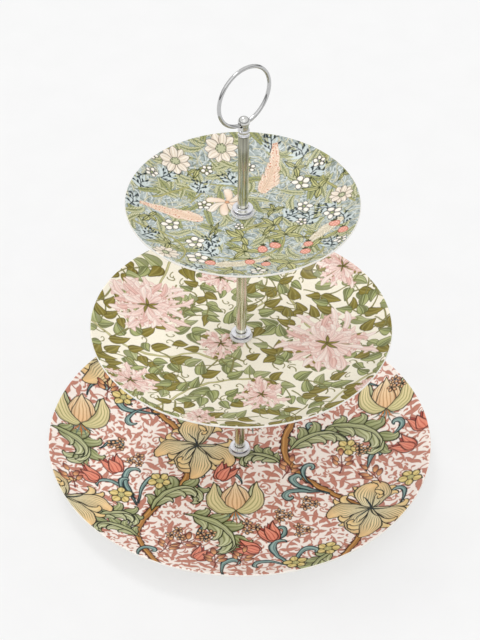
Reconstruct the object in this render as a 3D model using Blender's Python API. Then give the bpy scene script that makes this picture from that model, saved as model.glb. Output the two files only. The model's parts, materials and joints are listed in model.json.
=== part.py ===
"""Three-tier cake stand: coupe plates clamped on a screwed column, with a ring handle on top.

Metres, +Z up. The origin is on the floor, on the column's axis. The ring hangs on a pivot along X.
"""

import math

import bmesh
import bpy
from mathutils import Matrix

MM = 0.001

# ---------------------------------------------------------------- driving dimensions

GAP = 0.3 * MM  # free play between neighbouring pieces

BOTTOM_PLATE_RADIUS = 133.5 * MM
MIDDLE_PLATE_RADIUS = 101.5 * MM
TOP_PLATE_RADIUS = 76.2 * MM
BOTTOM_RIM_RISE = 13.2 * MM  # rim above the flat well
MIDDLE_RIM_RISE = 11.0 * MM
TOP_RIM_RISE = 9.8 * MM
BOTTOM_CHINA = 4.2 * MM  # thickness of the flat well
MIDDLE_CHINA = 4.0 * MM
TOP_CHINA = 3.8 * MM
BOTTOM_FOOT_HEIGHT = 4.8 * MM
MIDDLE_FOOT_HEIGHT = 2.6 * MM
TOP_FOOT_HEIGHT = 2.4 * MM
FOOT_TO_PLATE = 0.55  # foot ring's outer radius over the plate's radius
FOOT_WIDTH = 4.6 * MM
FOOT_DRAFT = 0.7 * MM
LIP_RADIUS = 0.9 * MM  # half the thickness of the rounded rim
RIM_SLOPE = math.radians(28)
PLATE_HOLE_RADIUS = 3.0 * MM

ROD_RADIUS = 3.5 * MM
ROD_LENGTH = 94.0 * MM  # the lower and middle rods
UPPER_ROD_LENGTH = 56.4 * MM
ROD_CHAMFER = 0.3 * MM
SOCKET_RADIUS = 2.3 * MM
SOCKET_DEPTH = 12.0 * MM

THREAD_RADIUS = 2.0 * MM  # M4 shank of the bolt, the studs and the finial's tang
THREAD_IN_ROD = 10.0 * MM
BOLT_HEAD_RADIUS = 4.0 * MM
BOLT_HEAD_HEIGHT = 1.6 * MM
BOLT_SLOT_WIDTH = 0.9 * MM
BOLT_SLOT_DEPTH = 0.7 * MM

FLANGE_RADIUS = 7.1 * MM
FLANGE_HEIGHT = 3.2 * MM
UPPER_FLANGE_HEIGHT = 4.0 * MM
FLANGE_SEAT_RADIUS = 3.9 * MM
FLANGE_SEAT_DEPTH = 0.6 * MM

CUSHION_RADIUS = 7.7 * MM  # clear washer between a flange and the glaze
CUSHION_HEIGHT = 1.2 * MM
PAD_RADIUS = 9.0 * MM  # soft washer under a plate
PAD_HEIGHT = 0.8 * MM
WASHER_RADIUS = 8.0 * MM  # metal washer under the soft one
WASHER_HEIGHT = 1.0 * MM
FOOT_WASHER_HEIGHT = 0.8 * MM
WASHER_HOLE_RADIUS = 2.4 * MM

COLLAR_RADIUS = 3.85 * MM
COLLAR_WAIST_RADIUS = 3.45 * MM
COLLAR_HEIGHT = 4.6 * MM
NECK_RADIUS = 3.1 * MM
BALL_RADIUS = 3.85 * MM
BALL_ABOVE_COLLAR = 5.8 * MM  # ball's centre above the collar's top
EYE_BELOW_BALL = 1.6 * MM  # eye's axis below the ball's centre
EYE_RADIUS = 1.95 * MM

RING_RADIUS = 20.9 * MM  # to the middle of the wire
WIRE_RADIUS = 1.3 * MM

PLATE_SEGMENTS = 60
ROD_SEGMENTS = 24
WASHER_SEGMENTS = 24
SHANK_SEGMENTS = 16
SLOPE_STEPS = 4
LIP_STEPS = 4
RING_SEGMENTS = 48
WIRE_SEGMENTS = 8


# ---------------------------------------------------------------- heights, from the floor up

FOOT_UNDERSIDE = BOTTOM_FOOT_HEIGHT
FOOT_PAD_BASE = FOOT_UNDERSIDE - GAP - PAD_HEIGHT
FOOT_WASHER_BASE = FOOT_PAD_BASE - GAP - FOOT_WASHER_HEIGHT
BOLT_BASE = FOOT_WASHER_BASE - GAP - BOLT_HEAD_HEIGHT


def column_above(well, flange_height):
    """Heights of the clear washer, the flange and the rod that stand on a plate's well."""
    cushion = well + GAP
    flange = cushion + CUSHION_HEIGHT + GAP
    rod = flange + flange_height - FLANGE_SEAT_DEPTH + GAP
    return cushion, flange, rod


def plate_above(rod_top, china):
    """Heights of the metal washer, the soft washer, the underside and the well over a rod's end."""
    washer = rod_top + GAP
    pad = washer + WASHER_HEIGHT + GAP
    underside = pad + PAD_HEIGHT + GAP
    return washer, pad, underside, underside + china


BOTTOM_WELL = FOOT_UNDERSIDE + BOTTOM_CHINA
LOWER_CUSHION, LOWER_FLANGE, LOWER_ROD = column_above(BOTTOM_WELL, FLANGE_HEIGHT)
LOWER_ROD_TOP = LOWER_ROD + ROD_LENGTH
MIDDLE_WASHER, MIDDLE_PAD, MIDDLE_UNDERSIDE, MIDDLE_WELL = plate_above(LOWER_ROD_TOP, MIDDLE_CHINA)
MIDDLE_CUSHION, MIDDLE_FLANGE, MIDDLE_ROD = column_above(MIDDLE_WELL, FLANGE_HEIGHT)
MIDDLE_ROD_TOP = MIDDLE_ROD + ROD_LENGTH
TOP_WASHER, TOP_PAD, TOP_UNDERSIDE, TOP_WELL = plate_above(MIDDLE_ROD_TOP, TOP_CHINA)
UPPER_CUSHION, UPPER_FLANGE, UPPER_ROD = column_above(TOP_WELL, UPPER_FLANGE_HEIGHT)
UPPER_ROD_TOP = UPPER_ROD + UPPER_ROD_LENGTH
COLLAR_BASE = UPPER_ROD_TOP + GAP
FINIAL_BASE = COLLAR_BASE + COLLAR_HEIGHT + GAP
BALL_HEIGHT = COLLAR_BASE + COLLAR_HEIGHT + BALL_ABOVE_COLLAR
EYE_HEIGHT = BALL_HEIGHT - EYE_BELOW_BALL


# ---------------------------------------------------------------- materials

def material(name, colour, roughness, metallic, transmission=0.0):
    made = bpy.data.materials.new(name)
    made.use_nodes = True
    shader = made.node_tree.nodes["Principled BSDF"]
    shader.inputs["Base Color"].default_value = (*colour, 1.0)
    shader.inputs["Roughness"].default_value = roughness
    shader.inputs["Metallic"].default_value = metallic
    shader.inputs["Transmission Weight"].default_value = transmission
    made.diffuse_color = (*colour, 1.0)
    return made


def china(name, colour):
    """Glazed bone china, in the average colour of its floral print."""
    return material(name, colour, roughness=0.12, metallic=0.0)


def polished_steel(name):
    return material(name, (0.78, 0.78, 0.76), roughness=0.08, metallic=1.0)


def plated_steel(name):
    """Duller zinc-plated steel of the hidden fasteners."""
    return material(name, (0.62, 0.62, 0.60), roughness=0.35, metallic=1.0)


def clear_plastic(name):
    return material(name, (0.90, 0.90, 0.88), roughness=0.25, metallic=0.0, transmission=0.5)


def soft_rubber(name):
    return material(name, (0.85, 0.84, 0.80), roughness=0.7, metallic=0.0)


# ---------------------------------------------------------------- shapes

def add(mesh, name, finish):
    """A new object in the scene from a mesh, with one material."""
    mesh.materials.append(finish)
    made = bpy.data.objects.new(name, mesh)
    bpy.context.scene.collection.objects.link(made)
    return made


def turned(name, outline, segments, finish, closed=True):
    """A piece turned about Z. The outline's (radius, height) points run outwards, then down the outside.

    A closed outline belongs to a piece with a hole; an open one starts and ends on the axis.
    """
    mesh = bpy.data.meshes.new(name)
    points = [(radius, 0.0, height) for radius, height in outline]
    edges = [(i, i + 1) for i in range(len(points) - 1)]
    if closed:
        edges.append((len(points) - 1, 0))
    mesh.from_pydata(points, edges, [])
    made = add(mesh, name, finish)
    screw = made.modifiers.new("Turn", "SCREW")
    screw.angle = math.tau
    screw.screw_offset = 0.0
    screw.steps = segments
    screw.render_steps = segments
    screw.use_merge_vertices = True
    screw.merge_threshold = 0.01 * MM
    screw.use_smooth_shade = True
    return made


def cut(body, cutter):
    """Takes the cutter's shape out of the body, and keeps the cutter out of the model."""
    cutter.hide_render = True
    cutter.display_type = "WIRE"
    boolean = body.modifiers.new("Cut", "BOOLEAN")
    boolean.operation = "DIFFERENCE"
    boolean.solver = "EXACT"
    boolean.object = cutter


def arc(centre, radius, start, end, steps):
    """Points along an arc in the (radius, height) plane, from one angle to the other."""
    turn = (end - start) / steps
    return [
        (centre[0] + radius * math.cos(start + i * turn), centre[1] + radius * math.sin(start + i * turn))
        for i in range(steps + 1)
    ]


def rising(start, end, steps):
    """Points on a parabola that leaves the start level, without the start itself."""
    points = []
    for i in range(1, steps + 1):
        share = i / steps
        radius = start[0] + share * (end[0] - start[0])
        points.append((radius, start[1] + share**2 * (end[1] - start[1])))
    return points


def plate(name, radius, rise, thickness, foot_height, finish):
    """A coupe plate: flat well, parabolic rim with a rounded lip, and a foot ring. Height 0 is its underside."""
    lip_centre_radius = radius - LIP_RADIUS
    edge = (lip_centre_radius - LIP_RADIUS * math.sin(RIM_SLOPE), thickness + rise)
    lip_centre = (lip_centre_radius, edge[1] - LIP_RADIUS * math.cos(RIM_SLOPE))
    flat_radius = edge[0] - 2 * rise / math.tan(RIM_SLOPE)
    lip_start = math.pi / 2 + RIM_SLOPE
    lip = arc(lip_centre, LIP_RADIUS, lip_start, lip_start - math.pi, LIP_STEPS)
    underside = rising((flat_radius, 0.0), lip[-1], SLOPE_STEPS)
    foot_outer = FOOT_TO_PLATE * radius
    foot_inner = foot_outer - FOOT_WIDTH
    outline = [(PLATE_HOLE_RADIUS, thickness), (flat_radius, thickness)]
    outline += rising((flat_radius, thickness), edge, SLOPE_STEPS)[:-1]
    outline += lip
    outline += reversed(underside[:-1])
    outline += [(foot_outer, 0.0), (foot_outer - FOOT_DRAFT, -foot_height)]
    outline += [(foot_inner + FOOT_DRAFT, -foot_height), (foot_inner, 0.0), (PLATE_HOLE_RADIUS, 0.0)]
    return turned(name, outline, PLATE_SEGMENTS, finish)


def washer(name, radius, height, hole_radius, finish, edge=0.2 * MM):
    """A flat ring with its outer corners rounded off."""
    outline = [(hole_radius, height), (radius - edge, height), (radius, height - edge)]
    outline += [(radius, edge), (radius - edge, 0.0), (hole_radius, 0.0)]
    return turned(name, outline, WASHER_SEGMENTS, finish)


def flange(name, height, finish):
    """The rod's foot: a spigot, a wider disc on it, and a coned top with a seat sunk into it for the rod."""
    spigot_radius = FLANGE_RADIUS - 0.9 * MM
    disc_base = 0.28 * height
    disc_top = 0.78 * height
    rounding = 0.35 * MM
    outline = [(WASHER_HOLE_RADIUS, height - FLANGE_SEAT_DEPTH)]
    outline += [(FLANGE_SEAT_RADIUS, height - FLANGE_SEAT_DEPTH), (FLANGE_SEAT_RADIUS + 0.3 * MM, height)]
    outline += [(FLANGE_SEAT_RADIUS + 0.8 * MM, height), (FLANGE_RADIUS - rounding, disc_top)]
    outline += [(FLANGE_RADIUS, disc_top - rounding), (FLANGE_RADIUS, disc_base + rounding)]
    outline += [(FLANGE_RADIUS - rounding, disc_base), (spigot_radius, disc_base)]
    outline += [(spigot_radius, 0.0), (WASHER_HOLE_RADIUS, 0.0)]
    return turned(name, outline, WASHER_SEGMENTS, finish)


def rod(name, length, finish):
    """A solid rod with a blind threaded socket in each end."""
    top = [(0.0, length - SOCKET_DEPTH), (SOCKET_RADIUS, length - SOCKET_DEPTH)]
    top += [(SOCKET_RADIUS, length), (ROD_RADIUS - ROD_CHAMFER, length), (ROD_RADIUS, length - ROD_CHAMFER)]
    foot = [(ROD_RADIUS, ROD_CHAMFER), (ROD_RADIUS - ROD_CHAMFER, 0.0), (SOCKET_RADIUS, 0.0)]
    foot += [(SOCKET_RADIUS, SOCKET_DEPTH), (0.0, SOCKET_DEPTH)]
    return turned(name, top + foot, ROD_SEGMENTS, finish, closed=False)


def stud(name, length, finish):
    """A headless threaded stud with chamfered ends."""
    chamfer = 0.4 * MM
    outline = [(0.0, length), (THREAD_RADIUS - chamfer, length), (THREAD_RADIUS, length - chamfer)]
    outline += [(THREAD_RADIUS, chamfer), (THREAD_RADIUS - chamfer, 0.0), (0.0, 0.0)]
    return turned(name, outline, SHANK_SEGMENTS, finish, closed=False)


def foot_bolt(name, length, finish):
    """A slotted pan-head bolt. Height 0 is the crown of its head."""
    chamfer = 0.4 * MM
    rounding = 0.5 * MM
    outline = [(0.0, length), (THREAD_RADIUS - chamfer, length), (THREAD_RADIUS, length - chamfer)]
    outline += [(THREAD_RADIUS, BOLT_HEAD_HEIGHT), (BOLT_HEAD_RADIUS, BOLT_HEAD_HEIGHT)]
    outline += [(BOLT_HEAD_RADIUS, rounding), (BOLT_HEAD_RADIUS - rounding, 0.0), (0.0, 0.0)]
    made = turned(name, outline, SHANK_SEGMENTS, finish, closed=False)
    slot = bmesh.new()
    bmesh.ops.create_cube(slot, size=1.0)
    size = (4 * BOLT_HEAD_RADIUS, BOLT_SLOT_WIDTH, 2 * BOLT_SLOT_DEPTH)
    bmesh.ops.scale(slot, vec=size, verts=slot.verts)
    mesh = bpy.data.meshes.new("bolt_slot")
    slot.to_mesh(mesh)
    slot.free()
    cutter = add(mesh, "bolt_slot", finish)
    cutter.parent = made
    cut(made, cutter)
    return made


def collar(name, finish):
    """A spool-shaped collar: a bead at each end and a waist between them."""
    bead = 1.1 * MM
    outline = [(WASHER_HOLE_RADIUS, COLLAR_HEIGHT), (COLLAR_RADIUS - 0.4 * MM, COLLAR_HEIGHT)]
    outline += [(COLLAR_RADIUS, COLLAR_HEIGHT - 0.5 * bead), (COLLAR_WAIST_RADIUS, COLLAR_HEIGHT - bead)]
    outline += [(COLLAR_WAIST_RADIUS, bead), (COLLAR_RADIUS, 0.5 * bead)]
    outline += [(COLLAR_RADIUS - 0.4 * MM, 0.0), (WASHER_HOLE_RADIUS, 0.0)]
    return turned(name, outline, ROD_SEGMENTS, finish)


def finial(name, finish):
    """Ball on a neck, with a threaded tang below and an eye drilled along X. Height 0 is the shoulder."""
    centre = BALL_HEIGHT - FINIAL_BASE
    meeting = -math.acos(NECK_RADIUS / BALL_RADIUS)
    ball = arc((0.0, centre), BALL_RADIUS, math.pi / 2, meeting, 9)
    ball[0] = (0.0, centre + BALL_RADIUS)
    tang_end = UPPER_ROD_TOP - THREAD_IN_ROD - FINIAL_BASE
    chamfer = 0.4 * MM
    outline = ball + [(NECK_RADIUS, 0.0), (THREAD_RADIUS, 0.0), (THREAD_RADIUS, tang_end + chamfer)]
    outline += [(THREAD_RADIUS - chamfer, tang_end), (0.0, tang_end)]
    made = turned(name, outline, ROD_SEGMENTS, finish, closed=False)
    eye = bmesh.new()
    bmesh.ops.create_cone(
        eye,
        cap_ends=True,
        segments=20,
        radius1=EYE_RADIUS,
        radius2=EYE_RADIUS,
        depth=4 * BALL_RADIUS,
        matrix=Matrix.Rotation(math.pi / 2, 4, "Y"),
    )
    mesh = bpy.data.meshes.new("finial_eye")
    eye.to_mesh(mesh)
    eye.free()
    cutter = add(mesh, "finial_eye", finish)
    cutter.parent = made
    cutter.location.z = EYE_HEIGHT - FINIAL_BASE
    cut(made, cutter)
    return made


def ring_handle(name, finish):
    """A round wire ring that stands in the XZ plane. Its origin is in the eye, on its own wire."""
    bpy.ops.mesh.primitive_torus_add(
        major_radius=RING_RADIUS,
        minor_radius=WIRE_RADIUS,
        major_segments=RING_SEGMENTS,
        minor_segments=WIRE_SEGMENTS,
    )
    made = bpy.context.object
    made.name = name
    made.data.name = name
    made.data.transform(Matrix.Rotation(math.pi / 2, 4, "X"))
    made.data.transform(Matrix.Translation((0.0, 0.0, RING_RADIUS)))
    made.data.materials.append(finish)
    made.data.shade_smooth()
    return made


# ---------------------------------------------------------------- assembly

def axis(name, parent, height):
    """An empty on a moving group's axis."""
    made = bpy.data.objects.new(name, None)
    made.empty_display_size = 0.01
    bpy.context.scene.collection.objects.link(made)
    if parent is not None:
        fit(made, parent, height)
    else:
        made.location.z = height
    return made


def height_of(obj):
    """An object's height above the floor, through its parents."""
    return obj.location.z + (height_of(obj.parent) if obj.parent else 0.0)


def fit(obj, parent, height):
    """Puts an object on its group's axis, at a height above the floor."""
    obj.parent = parent
    obj.location.z = height - height_of(parent)


def build_base(parent):
    fit(
        plate(
            "bottom_plate",
            BOTTOM_PLATE_RADIUS,
            BOTTOM_RIM_RISE,
            BOTTOM_CHINA,
            BOTTOM_FOOT_HEIGHT,
            china("bottom_china", (0.78, 0.62, 0.50)),
        ),
        parent,
        FOOT_UNDERSIDE,
    )
    pad = washer("foot_pad", PAD_RADIUS, PAD_HEIGHT, WASHER_HOLE_RADIUS, soft_rubber("foot_rubber"))
    fit(pad, parent, FOOT_PAD_BASE)
    metal = plated_steel("foot_washer_steel")
    fit(
        washer("foot_washer", WASHER_RADIUS, FOOT_WASHER_HEIGHT, WASHER_HOLE_RADIUS, metal),
        parent,
        FOOT_WASHER_BASE,
    )
    bolt_length = LOWER_ROD + THREAD_IN_ROD - BOLT_BASE
    fit(foot_bolt("foot_bolt", bolt_length, plated_steel("bolt_steel")), parent, BOLT_BASE)
    cushion = washer(
        "lower_cushion", CUSHION_RADIUS, CUSHION_HEIGHT, WASHER_HOLE_RADIUS, clear_plastic("lower_clear")
    )
    fit(cushion, parent, LOWER_CUSHION)


def build_column(parent, prefix, flange_base, flange_height, rod_base, length):
    """A rod and the flange at its foot."""
    fit(flange(prefix + "_flange", flange_height, polished_steel(prefix + "_flange_steel")), parent, flange_base)
    fit(rod(prefix + "_rod", length, polished_steel(prefix + "_rod_steel")), parent, rod_base)


def build_joint(parent, prefix, rod_top, washer_base, next_rod):
    """The stud in a rod's upper end, and the metal washer on that end."""
    length = next_rod + THREAD_IN_ROD - (rod_top - THREAD_IN_ROD)
    fit(stud(prefix + "_stud", length, plated_steel(prefix + "_stud_steel")), parent, rod_top - THREAD_IN_ROD)
    metal = polished_steel(prefix + "_washer_steel")
    fit(
        washer(prefix + "_washer", WASHER_RADIUS, WASHER_HEIGHT, WASHER_HOLE_RADIUS, metal),
        parent,
        washer_base,
    )


def build_tier(parent, prefix, china_plate, underside, pad_base, cushion_name, cushion_base):
    """A plate with the soft washer under it and the clear one on its well."""
    fit(china_plate, parent, underside)
    rubber = soft_rubber(prefix + "_rubber")
    fit(washer(prefix + "_pad", PAD_RADIUS, PAD_HEIGHT, WASHER_HOLE_RADIUS, rubber), parent, pad_base)
    clear = clear_plastic(prefix + "_clear")
    fit(
        washer(cushion_name, CUSHION_RADIUS, CUSHION_HEIGHT, WASHER_HOLE_RADIUS, clear),
        parent,
        cushion_base,
    )


def build_handle(parent):
    fit(collar("finial_collar", polished_steel("collar_steel")), parent, COLLAR_BASE)
    fit(finial("finial", polished_steel("finial_steel")), parent, FINIAL_BASE)
    ring_axis = axis("ring_axis", parent, EYE_HEIGHT)
    fit(ring_handle("ring_handle", polished_steel("ring_steel")), ring_axis, EYE_HEIGHT)


def build():
    for old in list(bpy.data.objects):
        bpy.data.objects.remove(old, do_unlink=True)

    base_axis = axis("base_axis", None, 0.0)
    build_base(base_axis)

    lower_axis = axis("lower_rod_axis", base_axis, LOWER_ROD)
    build_column(lower_axis, "lower", LOWER_FLANGE, FLANGE_HEIGHT, LOWER_ROD, ROD_LENGTH)
    build_joint(lower_axis, "lower", LOWER_ROD_TOP, MIDDLE_WASHER, MIDDLE_ROD)

    middle_plate = plate(
        "middle_plate",
        MIDDLE_PLATE_RADIUS,
        MIDDLE_RIM_RISE,
        MIDDLE_CHINA,
        MIDDLE_FOOT_HEIGHT,
        china("middle_china", (0.82, 0.78, 0.64)),
    )
    middle_plate_axis = axis("middle_plate_axis", lower_axis, MIDDLE_UNDERSIDE)
    build_tier(
        middle_plate_axis,
        "middle",
        middle_plate,
        MIDDLE_UNDERSIDE,
        MIDDLE_PAD,
        "middle_cushion",
        MIDDLE_CUSHION,
    )

    middle_axis = axis("middle_rod_axis", lower_axis, MIDDLE_ROD)
    build_column(middle_axis, "middle", MIDDLE_FLANGE, FLANGE_HEIGHT, MIDDLE_ROD, ROD_LENGTH)
    build_joint(middle_axis, "middle", MIDDLE_ROD_TOP, TOP_WASHER, UPPER_ROD)

    top_plate = plate(
        "top_plate",
        TOP_PLATE_RADIUS,
        TOP_RIM_RISE,
        TOP_CHINA,
        TOP_FOOT_HEIGHT,
        china("top_china", (0.68, 0.73, 0.68)),
    )
    top_plate_axis = axis("top_plate_axis", middle_axis, TOP_UNDERSIDE)
    build_tier(
        top_plate_axis, "top", top_plate, TOP_UNDERSIDE, TOP_PAD, "upper_cushion", UPPER_CUSHION
    )

    upper_axis = axis("upper_rod_axis", middle_axis, UPPER_ROD)
    build_column(upper_axis, "upper", UPPER_FLANGE, UPPER_FLANGE_HEIGHT, UPPER_ROD, UPPER_ROD_LENGTH)
    build_handle(upper_axis)


build()
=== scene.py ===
"""The looks of the three-tier cake stand: printed china plates, polished column, flanges and ring handle.

Lengths are metres, except in the prints, which are drawn in millimetres on a flat disc: u runs to the
right and v away from the viewer, so a motif's place reads as it is seen from the front of the stand.
"""

import dataclasses
import json
from collections.abc import Sequence
from math import acos, atan2, cos, degrees, pi, radians, sin, tan, tau

import bpy
import numpy as np
from mathutils import Matrix, Vector


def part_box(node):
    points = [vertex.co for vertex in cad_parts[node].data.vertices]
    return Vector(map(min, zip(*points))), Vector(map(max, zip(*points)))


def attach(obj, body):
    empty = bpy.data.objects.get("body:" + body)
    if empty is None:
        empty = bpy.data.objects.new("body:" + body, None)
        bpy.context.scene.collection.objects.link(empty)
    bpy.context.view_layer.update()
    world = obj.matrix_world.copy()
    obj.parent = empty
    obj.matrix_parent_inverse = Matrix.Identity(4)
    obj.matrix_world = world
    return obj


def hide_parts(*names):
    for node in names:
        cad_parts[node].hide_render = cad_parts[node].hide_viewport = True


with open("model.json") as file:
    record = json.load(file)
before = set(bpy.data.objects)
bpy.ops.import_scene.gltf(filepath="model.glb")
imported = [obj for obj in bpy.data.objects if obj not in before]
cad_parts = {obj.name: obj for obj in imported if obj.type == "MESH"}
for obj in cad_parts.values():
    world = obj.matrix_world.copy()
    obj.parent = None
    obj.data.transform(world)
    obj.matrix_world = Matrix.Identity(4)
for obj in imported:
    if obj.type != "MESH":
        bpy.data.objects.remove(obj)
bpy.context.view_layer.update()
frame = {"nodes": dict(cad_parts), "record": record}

MM = 0.001


# ---- painting: shapes on a flat disc, in mm

def ink(code):
    """A colour from its six hex digits, as it should look on the china."""
    return np.array([int(code[i:i + 2], 16) / 255 for i in (0, 2, 4)], np.float32)


def flat_ink(code, cells):
    """One ink over all the cells."""
    return np.broadcast_to(ink(code), (*cells.shape, 3)).copy()


@dataclasses.dataclass
class Look:
    """How a ribbon is inked: its fill from base to tip, its outline, and the lines drawn inside it."""

    fill: str
    tip: str = ""
    edge: str = ""
    edge_width: float = 0.35
    back: float = 1.0  # brightness of the right-hand side, for a leaf folded along its rib
    lines: str = ""  # lengthwise lines
    line_count: float = 0.0  # across half the width
    line_reach: float = 1.0  # share of the length that they run
    rib: str = ""


def swelling(power, fullness, taper=0.0):
    """An outline pointed at both ends; the smaller its power, the nearer its widest place is to its base."""

    def shape(share, side):
        swell = np.sin(pi * np.clip(share, 0, 1) ** power)
        return np.clip(swell, 0, 1) ** fullness * (1 - taper * share)

    return shape


def widening(base, widest_at, power, closing, roundness):
    """An outline that widens from a slim base and closes over the last of its length."""

    def shape(share, side):
        grown = base + (1 - base) * np.clip(share / widest_at, 0, 1) ** power
        return grown * np.clip((1 - share) / closing, 0, 1) ** roundness

    return shape


leaf_shape = swelling(0.75, 0.85)
heart_shape = swelling(0.55, 0.8, 0.25)  # a broad base and a drawn-out point
oval_shape = swelling(1.15, 0.6)
blade_petal_shape = widening(0.15, 0.55, 0.9, 0.42, 0.55)  # broadest past its middle
crook_shape = widening(0.22, 1.0, 1.1, 0.3, 0.6)  # for a leaf whose end rolls up
trumpet_shape = widening(0.28, 0.75, 2, 0.2, 0.5)  # a thin tube with a wide mouth


def petal_shape(share, side):
    """Narrow at the base, broad and rounded at the tip."""
    return np.clip(share, 0, 1) ** 0.6 * np.clip(1 - share**5, 0, 1) ** 0.5


def bud_shape(share, side):
    """A plump drop, its small end outwards."""
    return np.sqrt(np.clip(1 - ((share - 0.42) / 0.58) ** 2, 0, 1)) * (1 - 0.35 * share)


def round_shape(share, side):
    """A round petal on a short claw."""
    return np.sqrt(np.clip(1 - ((share - 0.6) / 0.42) ** 2, 0.06, 1))


def stem_shape(share, side):
    """Even, thinning a little towards its end."""
    return 1 - 0.35 * share


def blade_shape(share, side):
    """A grass blade: even at the base, drawn out to a point."""
    return np.clip(1 - share, 0, 1) ** 0.55 * np.clip(share * 8 + 0.35, 0, 1)


def lobed(count, depth, outline=leaf_shape):
    """An outline whose edge swells into rounded lobes, out of step on its two sides."""

    def shape(share, side):
        phase = share * count + 0.25 * side
        return outline(share, side) * (1 - depth + depth * np.sqrt(np.abs(np.sin(pi * phase))))

    return shape


def toothed(count, depth, outline=leaf_shape):
    """An outline with sharp teeth that point to the tip."""

    def shape(share, side):
        phase = (share * count + 0.2 * side) % 1.0
        return outline(share, side) * (1 - depth + depth * phase)

    return shape


def heading_vector(heading):
    """A unit vector; a heading of 0 points to the right and 90 away from the viewer."""
    return np.array([cos(radians(heading)), sin(radians(heading))])


def sweep(start, heading, length, bend=0.0, curl=0.0, steps=6):
    """A path that turns by bend degrees over its length, and by a further curl degrees near its end."""
    share = (np.arange(steps) + 0.5) / steps
    angles = np.radians(heading + bend * share + curl * share**4)
    strides = length / steps * np.stack([np.cos(angles), np.sin(angles)], axis=-1)
    return np.vstack([start, np.asarray(start) + np.cumsum(strides, axis=0)])


def through(points, steps=7):
    """A smooth path through the points, a Catmull-Rom spline."""
    points = np.asarray(points, float)
    padded = np.vstack([2 * points[0] - points[1], points, 2 * points[-1] - points[-2]])
    share = np.linspace(0, 1, steps, endpoint=False)[:, None]
    path = []
    for before, start, end, after in zip(padded, padded[1:], padded[2:], padded[3:]):
        square = 2 * before - 5 * start + 4 * end - after
        cube = 3 * (start - end) + after - before
        path.append(start + ((end - before) * share + square * share**2 + cube * share**3) / 2)
    return np.vstack([*path, points[-1:]])


def along(path, share):
    """The point and the heading at a share of a path's points."""
    at = min(int(share * (len(path) - 1)), len(path) - 2)
    step = path[at + 1] - path[at]
    return path[at], degrees(atan2(step[1], step[0]))


RIB_WIDTH = 0.22
ROW_SPACING = 0.866  # of a grid of equal triangles, as a share of their side
SAME_INK = 0.02  # inks closer than this count as the same
WAVER = 0.35  # how far a line may wander


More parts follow.
